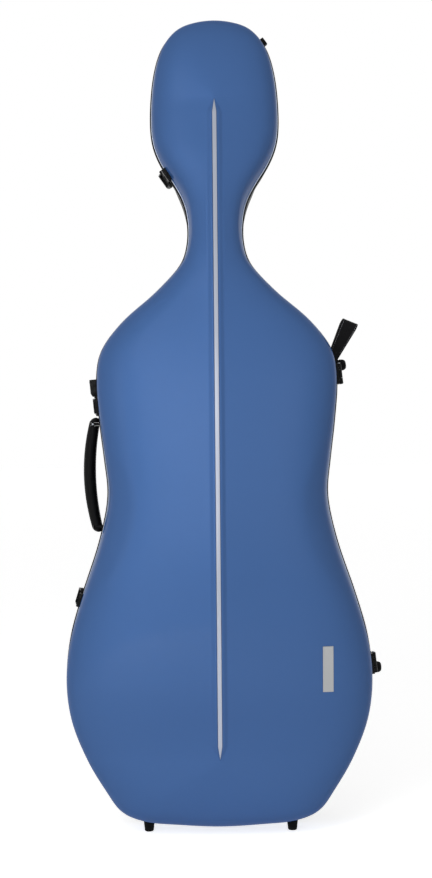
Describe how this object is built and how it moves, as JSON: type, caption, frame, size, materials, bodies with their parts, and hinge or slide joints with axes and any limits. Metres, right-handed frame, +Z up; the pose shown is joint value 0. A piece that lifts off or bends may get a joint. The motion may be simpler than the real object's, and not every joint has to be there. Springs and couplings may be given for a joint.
{
  "type": "cello hard case",
  "caption": "Tall hard case for a full-size cello: a domed lid with a centre ridge on a deep base shell, with hinges on one side and draw latches, a lock and a handle on the other.",
  "frame": {"origin": "on the floor, under the middle of the bounding box of the case standing on its feet", "axes": "+Z up along the case, the lid faces -Y, the handle side is -X and the hinge side is +X"},
  "size_m": [0.526, 0.2938, 1.332],
  "materials": {
    "blue_gloss": "glossy blue outer layer, clear coated",
    "black_shell": "satin black, lightly grained",
    "rim_metal": "satin anodised",
    "strip_metal": "brushed silver",
    "plate_metal": "satin, bare",
    "rubber": "matt black",
    "black_fittings": "semi-gloss black",
    "steel": "bright zinc",
    "leather": "smooth black with stitched edges",
    "plush": "dark grey plush",
    "webbing": "woven black",
    "moulded": "moulded black"
  },
  "bodies": {
    "base": {"base_shell": "black_shell", "base_lining": "plush", "base_rim": "black_fittings", "foot_base_left": "rubber", "foot_base_right": "rubber", "side_foot_upper": "rubber", "side_foot_lower": "rubber", "hinge_upper_base_leaf": "black_fittings", "hinge_lower_base_leaf": "black_fittings", "hinge_upper_pin": "steel", "hinge_lower_pin": "steel", "lock_body": "black_fittings", "handle_bracket_upper": "black_fittings", "handle_bracket_lower": "black_fittings", "strap_loop": "leather", "head_bumper": "rubber", "neck_rest": "plush", "neck_strap": "webbing", "endpin_block": "moulded", "back_pad_upper": "plush", "back_pad_lower": "plush", "latch_head_plate": "black_fittings", "latch_middle_plate": "black_fittings", "latch_lower_plate": "black_fittings", "ring_anchor_upper_left": "black_fittings", "ring_anchor_upper_right": "black_fittings", "ring_anchor_lower_left": "black_fittings", "ring_anchor_lower_right": "black_fittings"},
    "lid": {"lid_shell": "blue_gloss", "lid_lining": "plush", "lid_rim": "rim_metal", "rim_seal": "rubber", "centre_strip": "strip_metal", "name_plate": "plate_metal", "foot_lid_left": "rubber", "foot_lid_right": "rubber", "hinge_upper_lid_leaf": "black_fittings", "hinge_lower_lid_leaf": "black_fittings", "bow_pocket": "webbing", "bow_clip_base_left": "moulded", "bow_clip_base_right": "moulded", "latch_head_keeper": "black_fittings", "latch_middle_keeper": "black_fittings", "latch_lower_keeper": "black_fittings"},
    "handle_grip": {"handle_grip": "leather"},
    "latch_head_lever": {"latch_head_lever": "black_fittings"},
    "latch_head_hook": {"latch_head_hook": "black_fittings"},
    "latch_middle_lever": {"latch_middle_lever": "black_fittings"},
    "latch_middle_hook": {"latch_middle_hook": "black_fittings"},
    "latch_lower_lever": {"latch_lower_lever": "black_fittings"},
    "latch_lower_hook": {"latch_lower_hook": "black_fittings"},
    "lock_wheel_1": {"lock_wheel_1": "steel"},
    "lock_wheel_2": {"lock_wheel_2": "steel"},
    "lock_wheel_3": {"lock_wheel_3": "steel"},
    "ring_upper_left": {"ring_upper_left": "steel"},
    "ring_upper_right": {"ring_upper_right": "steel"},
    "ring_lower_left": {"ring_lower_left": "steel"},
    "ring_lower_right": {"ring_lower_right": "steel"},
    "bow_clip_bar_left": {"bow_clip_bar_left": "moulded"},
    "bow_clip_bar_right": {"bow_clip_bar_right": "moulded"}
  },
  "joints": [
    {"name": "lid_hinge", "type": "hinge", "parent": "base", "child": "lid", "pos_m": [0.24765, 0.00728, 0.26879], "axis": [-0.1093, 0, 0.994], "range_deg": [0, 135]},
    {"name": "latch_head_swing", "type": "hinge", "parent": "base", "child": "latch_head_lever", "pos_m": [-0.09103, 0.02528, 1.07511], "axis": [-0.5681, 0, 0.823], "range_deg": [0, 95]},
    {"name": "latch_head_hook_swing", "type": "hinge", "parent": "latch_head_lever", "child": "latch_head_hook", "pos_m": [-0.09103, 0.03278, 1.07511], "axis": [-0.5681, 0, 0.823], "range_deg": [-118.75, 0]},
    {"name": "latch_middle_swing", "type": "hinge", "parent": "base", "child": "latch_middle_lever", "pos_m": [-0.21019, 0.02528, 0.69583], "axis": [-0.096, 0, 0.9954], "range_deg": [0, 95]},
    {"name": "latch_middle_hook_swing", "type": "hinge", "parent": "latch_middle_lever", "child": "latch_middle_hook", "pos_m": [-0.21019, 0.03278, 0.69583], "axis": [-0.096, 0, 0.9954], "range_deg": [-118.75, 0]},
    {"name": "latch_lower_swing", "type": "hinge", "parent": "base", "child": "latch_lower_lever", "pos_m": [-0.24114, 0.02528, 0.37655], "axis": [0.2903, 0, 0.9569], "range_deg": [0, 95]},
    {"name": "latch_lower_hook_swing", "type": "hinge", "parent": "latch_lower_lever", "child": "latch_lower_hook", "pos_m": [-0.24114, 0.03278, 0.37655], "axis": [0.2903, 0, 0.9569], "range_deg": [-118.75, 0]},
    {"name": "lock_wheel_1_turn", "type": "hinge", "parent": "base", "child": "lock_wheel_1", "pos_m": [-0.21308, 0.03228, 0.69555], "axis": [-0.096, 0, 0.9954], "continuous": true},
    {"name": "lock_wheel_2_turn", "type": "hinge", "parent": "base", "child": "lock_wheel_2", "pos_m": [-0.21308, 0.03228, 0.69555], "axis": [-0.096, 0, 0.9954], "continuous": true},
    {"name": "lock_wheel_3_turn", "type": "hinge", "parent": "base", "child": "lock_wheel_3", "pos_m": [-0.21308, 0.03228, 0.69555], "axis": [-0.096, 0, 0.9954], "continuous": true},
    {"name": "handle_swing", "type": "hinge", "parent": "base", "child": "handle_grip", "pos_m": [-0.21627, 0.03528, 0.58], "axis": [-0.0204, 0, 0.9998], "range_deg": [-50, 50]},
    {"name": "ring_upper_left_swing", "type": "hinge", "parent": "base", "child": "ring_upper_left", "pos_m": [-0.07154, 0.14324, 0.80602], "axis": [1, 0, 0], "range_deg": [0, 165]},
    {"name": "ring_upper_right_swing", "type": "hinge", "parent": "base", "child": "ring_upper_right", "pos_m": [0.05246, 0.14324, 0.80602], "axis": [1, 0, 0], "range_deg": [0, 165]},
    {"name": "ring_lower_left_swing", "type": "hinge", "parent": "base", "child": "ring_lower_left", "pos_m": [-0.10553, 0.14144, 0.33002], "axis": [1, 0, 0], "range_deg": [0, 165]},
    {"name": "ring_lower_right_swing", "type": "hinge", "parent": "base", "child": "ring_lower_right", "pos_m": [0.08645, 0.14144, 0.33002], "axis": [1, 0, 0], "range_deg": [0, 165]},
    {"name": "bow_clip_left_turn", "type": "hinge", "parent": "lid", "child": "bow_clip_bar_left", "pos_m": [-0.05553, -0.07472, 0.83598], "axis": [0, -1, 0], "range_deg": [0, 90]},
    {"name": "bow_clip_right_turn", "type": "hinge", "parent": "lid", "child": "bow_clip_bar_right", "pos_m": [0.03645, -0.07472, 0.83598], "axis": [0, -1, 0], "range_deg": [0, 90]}
  ],
  "couplings": [
    {"joint": "latch_head_hook_swing", "follows": "latch_head_swing", "ratio": -1.25},
    {"joint": "latch_middle_hook_swing", "follows": "latch_middle_swing", "ratio": -1.25},
    {"joint": "latch_lower_hook_swing", "follows": "latch_lower_swing", "ratio": -1.25}
  ]
}
